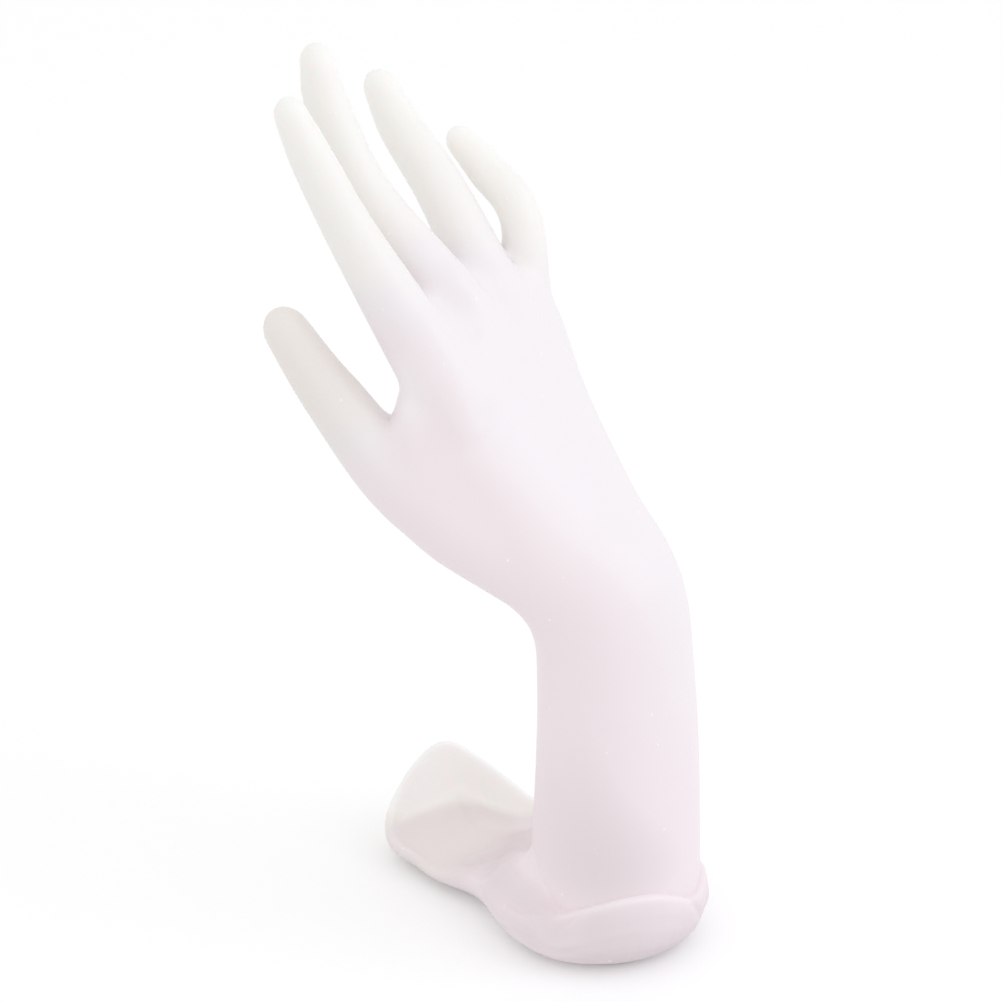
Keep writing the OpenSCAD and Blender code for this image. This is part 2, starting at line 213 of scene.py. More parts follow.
# Resin, of which both castings are poured: how far the eye sees into it, how that tints it, and the painted
# light and shade in that tint

resin = {
    "deepest": 60,  # resin deeper than this looks no pinker
    "rayLean": 0.64,  # how far four of the five rays into it lean from the straight one
    "litDepth": 20,  # painted light: on the side facing the lamp, resin deeper than this is painted no pinker
    "litFrom": (115, 35),  # azimuth and elevation of the lamp whose light is painted in
    "litLow": 0.1,  # share of that painted light at the foot, and the heights between which it grows to all of it
    "litHeights": (30, 80),
    # Millimetres of resin behind the surface, with painted light and shade worked in, and the tint that this
    # much of it has
    "tints": [(3, "#f7f4f1"), (11, "#f7f5f0"), (16, "#f7f3f1"), (21, "#f4eff1"), (27, "#f5ebee"),
              (45, "#f6eaee"), (58, "#e5d9dc")],
    "shadeTint": "#ece6e1",  # painted shade
    "paintedLightTint": "#fdfafb",  # painted highlight and painted light, also on the bubbles
    "bubbleStep": 9,  # between bubbles, of which only those at the surface show
    "bubbleMiddle": 0.25,
    "bubbleEdge": 0.55,
    "bubbleBump": 0.2,
    "hazeSize": 6,  # patches with a little more or less gloss
    "smooth": 0.34,
    "rough": 0.46,
    "glowDepths": (9.0, 16.0),  # thinner resin lets the light wander, deeper resin doesn't
    "glowReach": 4,
    "glowShares": (1, 0.8, 0.85),  # of that reach, for red, green and blue
}


def storeShare(piece, name, values):
    layer = piece.data.attributes.new(name, "FLOAT", "POINT")
    layer.data.foreach_set("value", values)


def storeDepthAndPaintedLight(piece, deeper, rounds, paintedLightShare):
    # How much resin lies behind each point, on five rays, with painted shade added and painted light taken
    # off, which decides how pink it looks
    deepest = resin["deepest"]
    points = readPoints(piece)
    faces = [tuple(face.vertices) for face in piece.data.polygons]
    tree = BVHTree.FromPolygons([tuple(p) for p in points], faces)
    inward = -readNormals(piece)
    side = np.cross(inward, np.where(abs(inward[:, :1]) < 0.9, (1.0, 0.0, 0.0), (0.0, 1.0, 0.0)))
    side /= np.linalg.norm(side, axis=1)[:, None]
    other = np.cross(inward, side)
    total = np.zeros(len(points))
    lean = resin["rayLean"]
    leans = [(0, 0), (lean, 0), (-lean, 0), (0, lean), (0, -lean)]
    for a, b in leans:
        rays = inward * math.sqrt(1 - a * a - b * b) + side * a + other * b
        starts = points + inward * 0.05  # a little inside, so that no ray stops where it starts
        ends = starts + rays * deepest
        for i, (p, ray) in enumerate(zip(starts, rays)):
            place = tree.ray_cast(Vector(p), Vector(ray), deepest)[0]
            if place:
                ends[i] = place
        total += np.minimum(np.linalg.norm(ends - starts, axis=1) + deeper(ends, points), deepest)
    values = total[:, None] / len(leans)

    # Painted light: the side facing the lamp is painted paler, as if less resin lay behind it
    low = resin["litLow"]
    lit = ease(-inward @ np.array(viewDirection(*resin["litFrom"]))) * paintedLightShare
    lit *= low + (1 - low) * fade(points[:, 2], *resin["litHeights"])
    values -= lit[:, None] * np.maximum(values - resin["litDepth"], 0)
    pairs = edgePairs(piece)
    for _ in range(rounds):
        values = neighbourMean(values, pairs)
    storeShare(piece, "thickness", values[:, 0])


def castResin():
    # Cast polyester with a satin skin: thin fingers and edges look ivory, thick parts blush pink
    material = bpy.data.materials.new("satin cast resin")
    material.use_nodes = True
    tree = material.node_tree
    shader = tree.nodes["Principled BSDF"]
    place = addNode(tree, "ShaderNodeTexCoord").outputs["Object"]
    depth = addNode(tree, "ShaderNodeAttribute", attribute_name="thickness").outputs["Fac"]
    share = addNode(tree, "ShaderNodeMapRange", {"Value": depth, "From Max": float(resin["deepest"])})
    tint = addNode(tree, "ShaderNodeValToRGB", {"Fac": share.outputs[0]})
    stops = tint.color_ramp.elements
    for _ in resin["tints"][2:]:
        stops.new(0.5)
    for stop, (millimetres, code) in zip(stops, resin["tints"]):
        stop.position = millimetres / resin["deepest"]
        stop.color = hexToLinear(code)

    # Painted shade on the thumb and the dish's floor, a painted highlight on the cloth's crest, painted light
    # on the web, and bubbles cut open at the surface, painted paler as glints
    step = resin["bubbleStep"]
    cells = addNode(tree, "ShaderNodeTexVoronoi", {"Vector": place, "Scale": 1 / (step * mm)})
    bubble = addNode(tree, "ShaderNodeMapRange", {
        "Value": cells.outputs["Distance"], "From Min": resin["bubbleMiddle"] / step,
        "From Max": resin["bubbleEdge"] / step, "To Min": 1.0, "To Max": 0.0}).outputs[0]
    shade = addNode(tree, "ShaderNodeAttribute", attribute_name="shade").outputs["Fac"]
    crest = addNode(tree, "ShaderNodeAttribute", attribute_name="crest").outputs["Fac"]
    colour = tint.outputs[0]
    for where, code in ((shade, "shadeTint"), (crest, "paintedLightTint"), (bubble, "paintedLightTint")):
        layer = addNode(tree, "ShaderNodeMix", {
            "Factor": where, "A": colour, "B": hexToLinear(resin[code])}, data_type="RGBA")
        colour = layer.outputs["Result"]
    tree.links.new(colour, shader.inputs["Base Color"])
    pits = addNode(tree, "ShaderNodeBump", {
        "Height": bubble, "Strength": 0.4, "Distance": resin["bubbleBump"] * mm})
    tree.links.new(pits.outputs[0], shader.inputs["Normal"])

    haze = addNode(tree, "ShaderNodeTexNoise", {
        "Vector": place, "Scale": 1 / (resin["hazeSize"] * mm), "Detail": 3.0})
    gloss = addNode(tree, "ShaderNodeMapRange", {
        "Value": haze.outputs["Fac"], "To Min": resin["smooth"], "To Max": resin["rough"]})
    tree.links.new(gloss.outputs[0], shader.inputs["Roughness"])
    shader.inputs["IOR"].default_value = 1.5
    thinnest, thickest = resin["glowDepths"]
    glow = addNode(tree, "ShaderNodeMapRange", {
        "Value": depth, "From Min": thinnest, "From Max": thickest, "To Min": 1.0, "To Max": 0.0})
    tree.links.new(glow.outputs[0], shader.inputs["Subsurface Weight"])
    shader.inputs["Subsurface Scale"].default_value = resin["glowReach"] * mm
    shader.inputs["Subsurface Radius"].default_value = resin["glowShares"]
    return material


# Hand: the casting's seams are blended as wax is, then the knuckles and the palm are modelled

hand = {
    "voxel": 0.9,
    "fillRounds": 120,
    "relaxRounds": 12,
    "lastRounds": 2,
    # The solid's facets are smoothed away from the first height down, fully below the second, not at the foot
    "roundHeights": (150, 120),
    "roundShare": 0.5,
    "roundRounds": 40,
    "footKept": 1,
    "wristHeight": 98,
    "wristBend": 35,
    "wristLean": 4,
    "wristTurn": 7,
    # Places on the hand are measured along it, towards the little finger and then towards its back
    # Edge of the heel and end of the thumb: line, width, share of it on which each end runs out, height
    "swells": [
        ([(48.6, -35.7, -20.8), (41.2, -33.4, -19.2), (34.4, -31.1, -16.4), (26.8, -28.3, -12.7),
          (20.2, -25.6, -9.9), (15.3, -23.9, -8.3), (9.8, -21.3, -9.9), (3.3, -18, -15.1),
          (-4.2, -17.1, -20.4)], 9.0, 0.25, 1.5),
        ([(86, -31, -25), (112, -32.5, -27.5)], 13.0, 0, 0.5),
    ],
    # The bottom of the gap between thumb and first finger, which is drawn back towards the wrist
    "notch": [(74, -28, -17), (77, -28, -7)],
    "notchWidth": 7,
    "notchDepth": 2.2,
    # Back of the hand, the knuckles and the hollows between them: line, width, height
    "back": [
        ([(100, -21), (84, -20), (70, -17), (58, -13)], 5.0, 0.6),
        ([(104, -1), (90, -1), (76, -1)], 4.5, 0.8),
        ([(98, 18), (82, 16), (70, 13)], 4.5, 0.7),
        ([(88, 32), (76, 29), (66, 24)], 4.5, 0.6),
        ([(96, -10.5), (88, -10), (78, -8.5)], 3.0, -0.6),
        ([(94, 8), (86, 8), (78, 6.5)], 3.0, -0.55),
        ([(86, 24), (78, 22), (70, 19)], 3.0, -0.5),
    ],
    # Palm: the hollow, the ball below the little finger, the pads under the fingers and the three lines
    "palm": [
        ([(62, 4), (42, 3)], 13.0, -2.6),
        ([(34, 19), (50, 22)], 11.0, 1.8),
        ([(84, -10), (84, 20)], 8.0, 1.0),
        ([(72, -19), (58, -9), (42, -5), (26, -6)], 1.8, -0.35),
        ([(70, -18), (62, -5), (54, 6), (50, 13)], 1.7, -0.3),
        ([(88, -8), (80, 0), (75, 9), (73, 18)], 1.7, -0.3),
    ],
    "wide": 10,  # from this width on a line is a round swelling
    "facing": 0.5,  # how squarely the skin has to face back or palm to get their full height
    # What counts as more resin: the holes for the fixing, and painted shade on the front of the arm low down,
    # by the cuff
    "hole": {"top": 50, "radius": 12, "depth": 26},
    "cuff": {"heights": (75, 30), "middle": -55, "spread": (90, 0), "depth": 13},
    "blurRounds": 40,
    "paintedLightShare": 0.9,
    # Painted shade darkens the thumb along its middle line, and painted light brightens the thin web beside
    # it
    "thumb": [(46, -23, -17), (53, -26, -20), (84, -31, -25), (112, -32.5, -27.5)],
    "thumbReach": (12, 8),
    "thumbAlong": (0.35, 0.75),
    "thumbShade": 0.7,
    "web": [(80, -26, -4), (74, -29, -7)],
    "webWidth": 6,
    "webPaintedLight": 0.7,
}


def handDirections():
    bend, lean, turn = [math.radians(hand[key]) for key in ("wristBend", "wristLean", "wristTurn")]
    bentAlong = np.array([-math.sin(bend), 0, math.cos(bend)])
    bentBack = np.array([math.cos(bend), 0, math.sin(bend)])
    along = bentAlong * math.cos(lean) - np.array([0, math.sin(lean), 0])
    leantSide = np.array([0, math.cos(lean), 0]) + bentAlong * math.sin(lean)
    back = bentBack * math.cos(turn) + leantSide * math.sin(turn)
    side = leantSide * math.cos(turn) - bentBack * math.sin(turn)
    return along, side, back


def inHand(points):
    return (points - np.array([0, 0, hand["wristHeight"]])) @ np.array(handDirections()).T


def roundArm(piece):
    height = readPoints(piece)[:, 2]
    share = fade(height, *hand["roundHeights"]) * hand["roundShare"]
    share[height < height.min() + hand["footKept"]] = 0
    smoothWhere(piece, share, hand["roundRounds"])


def modelHand(piece):
    points = readPoints(piece)
    normals = readNormals(piece)
    places = inHand(points)
    along, _, back = handDirections()
    for path, width, ends, height in hand["swells"]:
        points += normals * (rise(places, path, width, ends) * height)[:, None]
    points -= along * (rise(places, hand["notch"], hand["notchWidth"], 0) * hand["notchDepth"])[:, None]

    facing = normals @ back / hand["facing"]
    for lines, share in ((hand["back"], ease(facing)), (hand["palm"], ease(-facing))):
        for path, width, height in lines:
            swell = rise(places[:, :2], path, width, 0.25 if width < hand["wide"] else 0)
            points += normals * (swell * share * height)[:, None]
    writePoints(piece, points)


def handDeeper(ends, starts):
    # The holes for the fixing don't count as an end of the resin, and painted shade darkens the front of the
    # arm towards the cuff
    hole, cuff = hand["hole"], hand["cuff"]
    inHole = (ends[:, 2] < hole["top"]) & (fromAxis(ends) < hole["radius"])
    front = fade(abs(aroundAxis(starts) - cuff["middle"]), *cuff["spread"])
    return inHole * hole["depth"] + fade(starts[:, 2], *cuff["heights"]) * front * cuff["depth"]


def makeHand():
    piece = copyOfNode("hand", "hand_casting")
    applyModifier(piece, "REMESH", mode="VOXEL", voxel_size=hand["voxel"] * mm)
    fillCreases(piece, hand["fillRounds"])
    relax(piece, hand["relaxRounds"])
    roundArm(piece)
    modelHand(piece)
    relax(piece, hand["lastRounds"])
    storeDepthAndPaintedLight(piece, handDeeper, hand["blurRounds"], hand["paintedLightShare"])
    # Painted shade along the thumb and painted light on the web, stored as tint shares
    places = inHand(readPoints(piece))
    away, share = lineDistance(places, hand["thumb"])
    onThumb = fade(away, *hand["thumbReach"]) * fade(share, *hand["thumbAlong"])
    storeShare(piece, "shade", hand["thumbShade"] * onThumb)
    storeShare(piece, "crest", hand["webPaintedLight"] * rise(places, hand["web"], hand["webWidth"], 0))
    shadeSmooth(piece)
    return piece


# Base: the cloth lies close round the arm, with a crisp ridge in front and folds that run to the dish

base = {
    "voxel": 0.55,
    "fillRounds": 40,
    "refillRounds": 20,
    "relaxRounds": 4,
    "creaseRounds": 12,
    "lastRounds": 2,
    # The pocket for the arm, drawn in so that the loose fit doesn't show
    "armRadius": 23.25,
    "pocketRadius": 23.55,
    "pocketSlack": 0.1,  # within this a point counts as the pocket's wall
    "drawnRadius": 21,
    "seat": 12,
    "cuffMiddle": (-3, -2.5),
    # Angle round the arm, lift of the cloth against it, width of that lift
    "collar": [
        (-180, 0, 8), (-172, 0.4, 9), (-164, 1.8, 10), (-156, 4.5, 11), (-148, 7.8, 12), (-140, 9.6, 13),
        (-132, 10, 13), (-124, 9.2, 12), (-116, 7.3, 12), (-108, 5, 10), (-100, 3, 9), (-92, 1.5, 7),
        (-80, 0.5, 6), (-66, 0, 5), (180, 0, 8),
    ],
    "collarInside": 1.2,  # how far inside the arm the lift is greatest
    "collarPower": 4,  # how steeply it falls off outside
    "collarHeights": (14, 18.5),
    # Where the solid's rim is looked for in front: first and last angle, step, and distances from the middle
    "rimAngles": (-102, 17, 3),
    "rimReach": (25, 30),
    "rimRounds": 3,
    # The line of the ridge, to which that rim is drawn
    "ridge": [
        (-10.5, -28.9, 12.2), (-5.2, -28.4, 13.4), (-0.8, -26, 13.8), (2.6, -24.8, 15.5), (6.2, -23.2, 17.4),
        (9.9, -21.5, 19.4), (13.7, -19.4, 21.1), (16.5, -17, 22), (18.8, -14.4, 22.3), (21.2, -10.5, 22.1),
        (23, -5.7, 20.6), (23.7, 0.5, 17.3), (23.6, 3, 16.8),
    ],
    # Angle round the cuff's middle, and how much of the way the rim is drawn there
    "lean": [(-116, 0), (-98, 0.35), (-84, 0.85), (-74, 1), (6, 1), (16, 0)],
    "leanFoot": 8,  # the wall starts to lean at this height
    "leanTop": 2,  # and leans fully this far below its rim
    # Behind the ridge the gap to the arm is filled up to a shelf that rises towards the arm
    "shelfSlope": 0.8,
    "shelfWidth": 1.2,
    "shelfEdge": (-0.4, 0.4),
    "shelfHeights": (13, 16.5),
    "ridgeWidth": 0.8,
    "ridgeOut": 0.1944,  # how far the ridge stands out and up
    "ridgeUp": 0.2917,
    "ridgeEnds": 0.08,
    # Seen from above: folds of the cloth, width, height
    "folds": [
        ([(-16, 0), (-27, -1), (-36, -2), (-48, -1)], 7.5, -3.2),
        ([(-47, -4), (-40, -7), (-34, -11), (-30, -16), (-28, -20)], 4.5, -2.8),
        ([(-46, -8.5), (-41.5, -11.4), (-34, -17.5), (-26.9, -22.4), (-18.5, -25.4), (-9, -26.6),
          (-2, -25.4)], 2.4, -1.5),
        ([(-17, -27), (-10, -29.2), (-4, -28.6), (2, -26)], 1.8, 0.7),
        ([(-28, -8), (-27, -14), (-24.5, -18.5), (-20, -22.5), (-12, -25)], 2.6, 0.4),
        ([(-25, -14), (-17, -19.5), (-9, -23.6)], 1.6, -0.4),
        ([(-70, 15.5), (-67, 13.8), (-62.5, 11.2), (-57, 8.5)], 1.2, -0.6),
        ([(-67, 17), (-63.5, 14.5), (-59, 12), (-54, 10)], 1.4, 0.45),
        ([(-52, 20), (-46, 13), (-42, 6)], 2.2, 0.5),
    ],
    "foldFacing": (0.15, 0.45),  # how far up the cloth has to face to get them
    # In space: folds that lie on a wall, width, height
    "wallFolds": [
        ([(-72.9, 6.5, 6.5), (-72.6, 10.5, 7.8), (-71.5, 13.7, 8.8), (-69.3, 16.6, 9.9), (-66, 18.2, 8.4),
          (-62.4, 18.4, 7), (-58.9, 18.2, 6.4), (-53.2, 18.6, 7), (-46, 19.2, 8.8)], 1.5, 0.7),
        ([(-73, 6.5, 8.6), (-72.8, 10.5, 9.9), (-71.7, 13.8, 10.9), (-69.4, 17, 12), (-66, 18.5, 10.6),
          (-62.4, 18.8, 9.1), (-58.9, 18.6, 8.5), (-53.2, 18.9, 9.2), (-46, 19.4, 10.8)], 1.1, -0.3),
        ([(-40, -17, 12.5), (-37, -19.2, 11.1), (-32.9, -21, 10.3), (-29, -22.6, 9.7),
          (-26, -24, 8)], 2.2, -0.7),
    ],
    # On the outside: angle round the cuff's middle and height of each crease, width, height
    "creases": [
        ([(-84, 4.5), (-66, 8.9), (-52, 11.1), (-36, 12.3), (-18, 12.8)], 1.1, -0.25),
        ([(-84, 6.5), (-66, 10.9), (-52, 13), (-36, 14), (-18, 14.4)], 1.0, 0.2),
        ([(6, 19), (12, 14), (20, 9)], 1.3, -0.9),
        ([(30, 14), (36, 11), (48, 9)], 2.4, 0.6),
        ([(-128, 4), (-112, 6.5), (-96, 8.5)], 1.2, -0.4),
    ],
    "creaseFacing": (0.75, 0.45),  # how far up or down the cloth may face to get them
    "creaseFrom": 24.5,  # distance from the cuff's middle from which the cloth is its outside
    "unrollRadius": 28,  # the outside is laid flat at this radius
    # Where folds run together and the cloth is stroked smooth, and how widely
    "stroked": [((-31, -20.5, 11.6), 6), ((-2.5, -22.8, 17.5), 3)],
    "strokeShare": 0.5,
    "strokes": 30,
    # What counts as more resin: the arm behind the cuff, with painted shade added in front, and painted shade
    # on the dish's floor and near rim where they stand low
    "backingAndShade": {"radius": 25, "depth": 30, "inFront": 15, "angles": (-125, -95)},
    "floor": {"top": 4, "depth": 43, "atCuff": 6, "x": (-58, -40)},
    "nearRim": {"depth": 28, "x": (-30, -40), "tip": (-74, -64), "y": (-4, -10), "z": (13, 10)},
    "blurRounds": 80,
    "paintedLightShare": 0.6,
    # Painted shade on the dish, and a painted highlight along the ridge
    "dishShade": {"most": 0.7, "x": (-30, -62), "z": (9, 6),
                  "near": 0.6, "nearY": (-2, -8), "nearZ": (13, 10)},
    "crestShare": 0.45,
    "crestEnds": 0.15,
}


def aroundCuff(points):
    fromMiddle = points[:, :2] - np.array(base["cuffMiddle"])
    return aroundAxis(fromMiddle), fromAxis(fromMiddle)


def drawIn(piece):
    points = readPoints(piece)
    radius = fromAxis(points)
    slack = base["pocketSlack"]
    pocket = (abs(radius - base["pocketRadius"]) < slack) & (points[:, 2] > base["seat"] - slack)
    points[pocket, :2] *= (base["drawnRadius"] / radius[pocket])[:, None]
    writePoints(piece, points)


def raiseCollar(piece):
    points = readPoints(piece)
    angle = aroundAxis(points)
    angles, lifts, widths = zip(*base["collar"])
    outside = fromAxis(points) - base["armRadius"] + base["collarInside"]
    away = outside / np.interp(angle, angles, widths)
    lift = np.interp(angle, angles, lifts) * np.clip(1 - away, 0, 1) ** base["collarPower"]
    points[:, 2] += lift * fade(points[:, 2], *base["collarHeights"])
    writePoints(piece, points)


def crestLine(points):
    # The highest points of the rim in front, joined to one smooth line
    turn, reach = aroundCuff(points)
    first, last, step = base["rimAngles"]
    nearest, farthest = base["rimReach"]
    line = []
    for angle in np.arange(first, last, step):
        near = np.flatnonzero((abs(turn - angle) < step / 2) & (reach > nearest) & (reach < farthest))
        line.append(points[near[np.argmax(points[near, 2])]])
    crest = np.array(line)
    for _ in range(base["rimRounds"]):
        crest[1:-1] = (crest[:-2] + crest[1:-1] * 2 + crest[2:]) / 4
    return crest


def leanIn(piece):
    # In front the rim leans against the arm, with no gap behind it
    points = readPoints(piece)
    crest = crestLine(points)
    ridge = smoothPath(base["ridge"], 4)
    crestTurn = aroundCuff(crest)[0]
    ridgeTurn = aroundCuff(ridge)[0]
    ridgeRadius = fromAxis(ridge)

    turn = aroundCuff(points)[0]
    rim = np.interp(turn, crestTurn, crest[:, 2])
    share = np.interp(turn, *zip(*base["lean"]))
    moved = share * fade(points[:, 2], base["leanFoot"], rim - base["leanTop"])
    shift = np.interp(turn, crestTurn, fromAxis(crest)) - np.interp(turn, ridgeTurn, ridgeRadius)
    points[:, :2] *= (1 - np.maximum(shift, 0) * moved / np.maximum(fromAxis(points), 1))[:, None]
    points[:, 2] -= (rim - np.interp(turn, ridgeTurn, ridge[:, 2])) * moved

    turn = aroundCuff(points)[0]
    behind = np.interp(turn, ridgeTurn, ridgeRadius) - fromAxis(points)
    climb = base["shelfSlope"] * np.clip(behind, 0, base["shelfWidth"])
    shelf = np.interp(turn, ridgeTurn, ridge[:, 2]) + climb
    low, high = base["shelfHeights"]
    fill = share * fade(behind, *base["shelfEdge"]) * np.clip((points[:, 2] - low) / (high - low), 0, 1)
    points[:, 2] += np.maximum(shelf - points[:, 2], 0) * fill
    writePoints(piece, points)
    return ridge


def modelBase(piece, ridge):
    points = readPoints(piece)
    normals = readNormals(piece)
    turn, reach = aroundCuff(points)
    around = np.radians(turn)
    out, up = base["ridgeOut"], base["ridgeUp"]
    push = np.stack([np.cos(around) * out, np.sin(around) * out, np.full(len(turn), up)], 1)
    points += push * rise(points, ridge, base["ridgeWidth"], base["ridgeEnds"])[:, None]

    upward = fade(normals[:, 2], *base["foldFacing"])
    for path, width, height in base["folds"]:
        points[:, 2] += rise(points[:, :2], path, width) * upward * height
    for path, width, height in base["wallFolds"]:
        points += normals * (rise(points, path, width) * height)[:, None]

    radius = base["unrollRadius"]
    outside = fade(abs(normals[:, 2]), *base["creaseFacing"]) * (reach > base["creaseFrom"])
    wall = np.stack([around * radius, points[:, 2]], 1)
    for path, width, height in base["creases"]:
        unrolled = [(math.radians(angle) * radius, z) for angle, z in path]
        points += normals * (rise(wall, unrolled, width) * outside * height)[:, None]
    writePoints(piece, points)


def strokeSmooth(piece):
    points = readPoints(piece)
    share = np.zeros(len(points))
    for place, width in base["stroked"]:
        share += np.exp(-(np.linalg.norm(points - place, axis=1) / width) ** 2)
    smoothWhere(piece, share * base["strokeShare"], base["strokes"])


def baseDeeper(ends, starts):
    # The cuff is backed by the arm, with painted shade added in front, and the floor and near rim of the dish
    # get painted shade as if they were deeper resin
    x, y, z = starts.T
    backingAndShade, floor, rim = base["backingAndShade"], base["floor"], base["nearRim"]
    front = fade(aroundAxis(ends), *backingAndShade["angles"])
    cuff = (fromAxis(ends) < backingAndShade["radius"]) * (backingAndShade["depth"] + backingAndShade["inFront"] * front)
    low = (ends[:, 2] < floor["top"]) * (floor["depth"] + floor["atCuff"] * fade(x, *floor["x"]))
    near = fade(z, *rim["z"]) * fade(x, *rim["x"]) * fade(x, *rim["tip"]) * fade(y, *rim["y"])
    return np.maximum(np.maximum(cuff, low), near * rim["depth"])


def shadeDish(points):
    # Painted shade: darker towards the dish's end away from the arm and low down, and along its near rim
    x, y, z = points.T
    dish = base["dishShade"]
    near = dish["near"] * fade(z, *dish["nearZ"]) * fade(y, *dish["nearY"])
    return dish["most"] * fade(x, *dish["x"]) * np.maximum(fade(z, *dish["z"]), near)


def makeBase():
    piece = copyOfNode("draped_base", "base_casting")
    drawIn(piece)
    applyModifier(piece, "REMESH", mode="VOXEL", voxel_size=base["voxel"] * mm)
    fillCreases(piece, base["fillRounds"])
    raiseCollar(piece)
    ridge = leanIn(piece)
    print("ridge:", len(ridge), "points")
    applyModifier(piece, "REMESH", mode="VOXEL", voxel_size=base["voxel"] * mm)
    fillCreases(piece, base["refillRounds"])
    relax(piece, base["relaxRounds"])
    modelBase(piece, ridge)
    fillCreases(piece, base["creaseRounds"])
    strokeSmooth(piece)
    relax(piece, base["lastRounds"])
    storeDepthAndPaintedLight(piece, baseDeeper, base["blurRounds"], base["paintedLightShare"])
    points = readPoints(piece)
    storeShare(piece, "shade", shadeDish(points))
    # Painted highlight along the ridge
    crest = rise(points, ridge, base["ridgeWidth"], base["crestEnds"])
    storeShare(piece, "crest", crest * base["crestShare"])
    shadeSmooth(piece)
    return piece


# Felt: die-cut from a sheet, with soft edges, glued under the base

felt = {
    "voxel": 0.5,
    "softRounds": 10,
    "softOutward": 0.45,
    "unevenness": 0.06,
    "lump": 4,
    "area": 0.0014832,  # of the cut sheet, in square metres
    "colour": "#e9e3dc",
    "darkFibre": "#d3cbc2",
    "fibre": 0.35,  # real fibres are finer, and this is as coarse as they need to show
    "nap": 0.15,
}


def makeFelt():
    piece = copyOfNode("felt_pad", "felt_sheet")
    flatSize = [piece.dimensions[0], piece.dimensions[1]]
    applyModifier(piece, "REMESH", mode="VOXEL", voxel_size=felt["voxel"] * mm)
    relax(piece, felt["softRounds"], outward=felt["softOutward"])
    points = readPoints(piece)
    lumps = [noise.noise(Vector(p) / felt["lump"]) for p in points]
    points += readNormals(piece) * (np.array(lumps) * felt["unevenness"])[:, None]
    writePoints(piece, points)
    shadeSmooth(piece)
    return piece, flatSize


def woolFelt():
    # Pressed wool: matt, with short fibres that lie every way and a faint bloom at the edge
    material = bpy.data.materials.new("pressed wool felt")
    material.use_nodes = True
    tree = material.node_tree
    shader = tree.nodes["Principled BSDF"]
    place = addNode(tree, "ShaderNodeTexCoord").outputs["Object"]
    fibres = addNode(tree, "ShaderNodeTexNoise", {
        "Vector": place, "Scale": 1 / (felt["fibre"] * mm), "Detail": 4.0, "Distortion": 1.5}).outputs["Fac"]
    tint = addNode(tree, "ShaderNodeMix", {
        "Factor": fibres, "A": hexToLinear(felt["darkFibre"]), "B": hexToLinear(felt["colour"])},
        data_type="RGBA")
    nap = addNode(tree, "ShaderNodeBump", {
        "Height": fibres, "Strength": 0.6, "Distance": felt["nap"] * mm})
    tree.links.new(tint.outputs["Result"], shader.inputs["Base Color"])
    tree.links.new(nap.outputs[0], shader.inputs["Normal"])
    shader.inputs["Roughness"].default_value = 0.95
    shader.inputs["Sheen Weight"].default_value = 0.3
    return material


# Fixings: inside the castings, so their solids stay and only get their metal

fixings = {
    "threaded_insert": "brass",
    "fixing_screw": "steel",
    "spring_washer": "steel",
    "flat_washer": "steel",
    "locating_pin": "steel",
}
metals = {
    # Turned brass: warm, with the rings that the tool leaves
    "brass": {"name": "turned brass", "colour": "#d9b36a", "dull": "#b98f4c", "smooth": 0.22, "rough": 0.4},
    # Zinc plated steel: cool grey, with a cloudy bloom from the plating bath
    "steel": {"name": "zinc plated steel", "colour": "#c9ccd0", "dull": "#aeb2b8", "smooth": 0.25,
              "rough": 0.45},
}
metalMarks = {
    "bloom": 2,
    "ringStep": 1.5708,  # real rings are finer, and this is as coarse as they need to show
    "ringDepth": 0.02,
}


def metalOf(kind):
    values = metals[kind]
    material = bpy.data.materials.new(values["name"])
    material.use_nodes = True
    tree = material.node_tree
    shader = tree.nodes["Principled BSDF"]
    place = addNode(tree, "ShaderNodeTexCoord").outputs["Object"]
    bloom = addNode(tree, "ShaderNodeTexNoise", {
        "Vector": place, "Scale": 1 / (metalMarks["bloom"] * mm), "Detail": 3.0}).outputs["Fac"]
    # At scale 1 the wave has 20 radians to the metre
    rings = addNode(tree, "ShaderNodeTexWave", {
        "Vector": place, "Scale": math.tau / 20 / (metalMarks["ringStep"] * mm), "Distortion": 0.4},
        bands_direction="Z")
    tint = addNode(tree, "ShaderNodeMix", {
        "Factor": bloom, "A": hexToLinear(values["dull"]), "B": hexToLinear(values["colour"])},
        data_type="RGBA")
    gloss = addNode(tree, "ShaderNodeMapRange", {
        "Value": bloom, "To Min": values["smooth"], "To Max": values["rough"]})
    turned = addNode(tree, "ShaderNodeBump", {
        "Height": rings.outputs["Fac"], "Strength": 0.2, "Distance": metalMarks["ringDepth"] * mm})
    tree.links.new(tint.outputs["Result"], shader.inputs["Base Color"])
    tree.links.new(gloss.outputs[0], shader.inputs["Roughness"])
    tree.links.new(turned.outputs[0], shader.inputs["Normal"])
    shader.inputs["Metallic"].default_value = 1.0
    return material


resinSkin = castResin()
handPiece = makeHand()
print("hand:", len(handPiece.data.polygons), "faces")
basePiece = makeBase()
print("base:", len(basePiece.data.polygons), "faces")
for piece, node in ((handPiece, "hand"), (basePiece, "draped_base")):
    piece.data.materials.append(resinSkin)
    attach(piece, "root")
    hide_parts(node)

feltPiece, feltSize = makeFelt()
feltPiece.data.materials.append(woolFelt())
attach(feltPiece, "root")
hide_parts("felt_pad")
feltSides = [round(side / mm, 1) for side in feltSize]
print("felt:", len(feltPiece.data.polygons), "faces, cut from", feltSides, "mm")

madeMetals = {kind: metalOf(kind) for kind in metals}
for node, kind in fixings.items():
    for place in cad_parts[node].material_slots:
        place.material = madeMetals[kind]
print("fixings:", ", ".join(fixings))


# Stage: pale floor, white surround, one wide lamp from the right

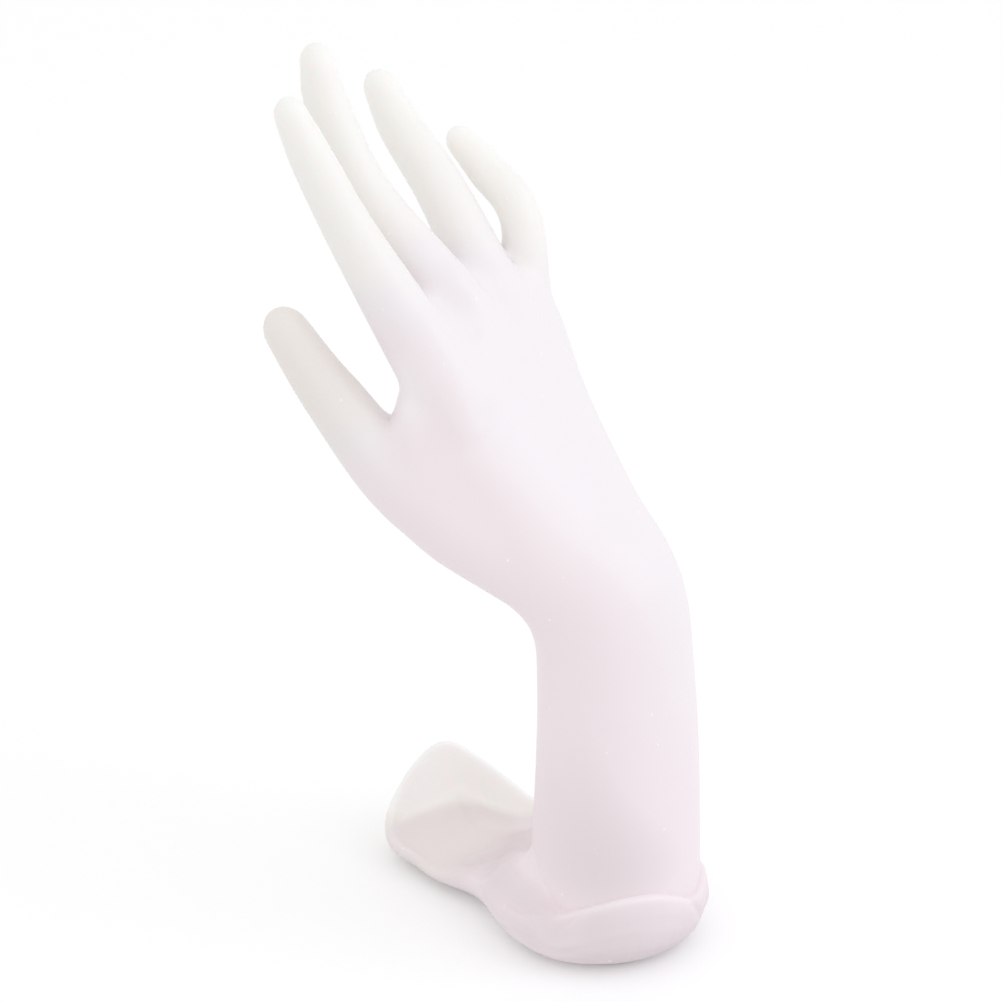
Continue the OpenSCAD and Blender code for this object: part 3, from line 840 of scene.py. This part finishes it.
stage = {
    "floorSize": 4000,
    "floorDrop": 0.1,
    "floorColour": "#f0f0f0",
    "floorGlow": 0.18,
    "ambient": 0.92,
    # Azimuth, elevation, distance, size, power and colour of each lamp
    "lamps": [(115, 35, 700, 500, 0.8, "#e8eeff")],
    "lampAim": (-40, 0, 130),
}
camera = {
    "azimuth": 40,
    "elevation": 25,
    "distance": 1000,
    "target": (-55.7, 17.7, 105.8),
    "pixelsPerMm": 3.64,
    "imageWidth": 1002,
    "sensorWidth": 36,
    "sees": 20000,
}


def makeCamera():
    lens = bpy.data.cameras.new("camera")
    eye = bpy.data.objects.new("camera", lens)
    bpy.context.scene.collection.objects.link(eye)
    back = viewDirection(camera["azimuth"], camera["elevation"])
    eye.location = (Vector(camera["target"]) + back * camera["distance"]) * mm
    eye.rotation_mode = "QUATERNION"
    eye.rotation_quaternion = (-back).to_track_quat("-Z", "Y")
    lens.sensor_width = camera["sensorWidth"]
    lens.lens = lens.sensor_width * camera["pixelsPerMm"] * camera["distance"] / camera["imageWidth"]
    lens.clip_end = camera["sees"] * mm
    bpy.context.scene.camera = eye


def seenRay(tree):
    # 1 for what the camera sees, also in a reflection or through something clear
    path = addNode(tree, "ShaderNodeLightPath")
    seen = path.outputs["Is Camera Ray"]
    for name in ("Is Glossy Ray", "Is Transmission Ray"):
        either = addNode(tree, "ShaderNodeMath", {0: seen, 1: path.outputs[name]}, operation="MAXIMUM")
        seen = either.outputs[0]
    return seen


def makeWorld():
    world = bpy.data.worlds.new("white surround")
    bpy.context.scene.world = world
    world.use_nodes = True
    tree = world.node_tree
    tree.nodes.clear()
    soft = addNode(tree, "ShaderNodeBackground", {"Color": (1, 1, 1, 1), "Strength": stage["ambient"]})
    white = addNode(tree, "ShaderNodeBackground", {"Color": (1, 1, 1, 1), "Strength": 1.0})
    mix = addNode(tree, "ShaderNodeMixShader", {0: seenRay(tree), 1: soft.outputs[0], 2: white.outputs[0]})
    addNode(tree, "ShaderNodeOutputWorld", {"Surface": mix.outputs[0]})


def makeFloor():
    # Matt white board, which keeps the shadow and is lifted to white only where the camera sees it
    bpy.ops.object.select_all(action="DESELECT")
    drop = stage["floorDrop"] * mm
    bpy.ops.mesh.primitive_plane_add(size=stage["floorSize"] * mm, location=(0, 0, -drop))
    floor = bpy.context.active_object
    floor.name = "floor"
    material = bpy.data.materials.new("white floor")
    material.use_nodes = True
    tree = material.node_tree
    tree.nodes.clear()
    matte = addNode(tree, "ShaderNodeBsdfDiffuse", {"Color": hexToLinear(stage["floorColour"])})
    glow = addNode(tree, "ShaderNodeEmission", {"Color": (1, 1, 1, 1), "Strength": stage["floorGlow"]})
    lifted = addNode(tree, "ShaderNodeAddShader", {0: matte.outputs[0], 1: glow.outputs[0]})
    mix = addNode(tree, "ShaderNodeMixShader", {0: seenRay(tree), 1: matte.outputs[0], 2: lifted.outputs[0]})
    addNode(tree, "ShaderNodeOutputMaterial", {"Surface": mix.outputs[0]})
    floor.data.materials.append(material)


def makeLamps():
    for azimuth, elevation, distance, size, power, colour in stage["lamps"]:
        light = bpy.data.lights.new("wide lamp", "AREA")
        light.energy = power
        light.color = hexToLinear(colour)[:3]
        light.size = size * mm
        lamp = bpy.data.objects.new("wide lamp", light)
        bpy.context.scene.collection.objects.link(lamp)
        aim = viewDirection(azimuth, elevation)
        lamp.location = (Vector(stage["lampAim"]) + aim * distance) * mm
        lamp.rotation_mode = "QUATERNION"
        lamp.rotation_quaternion = (-aim).to_track_quat("-Z", "Y")


makeCamera()
makeWorld()
makeFloor()
makeLamps()
bpy.context.scene.view_settings.view_transform = "Standard"
print("stage: floor, surround,", len(stage["lamps"]), "lamp, camera", camera["distance"], "mm away")
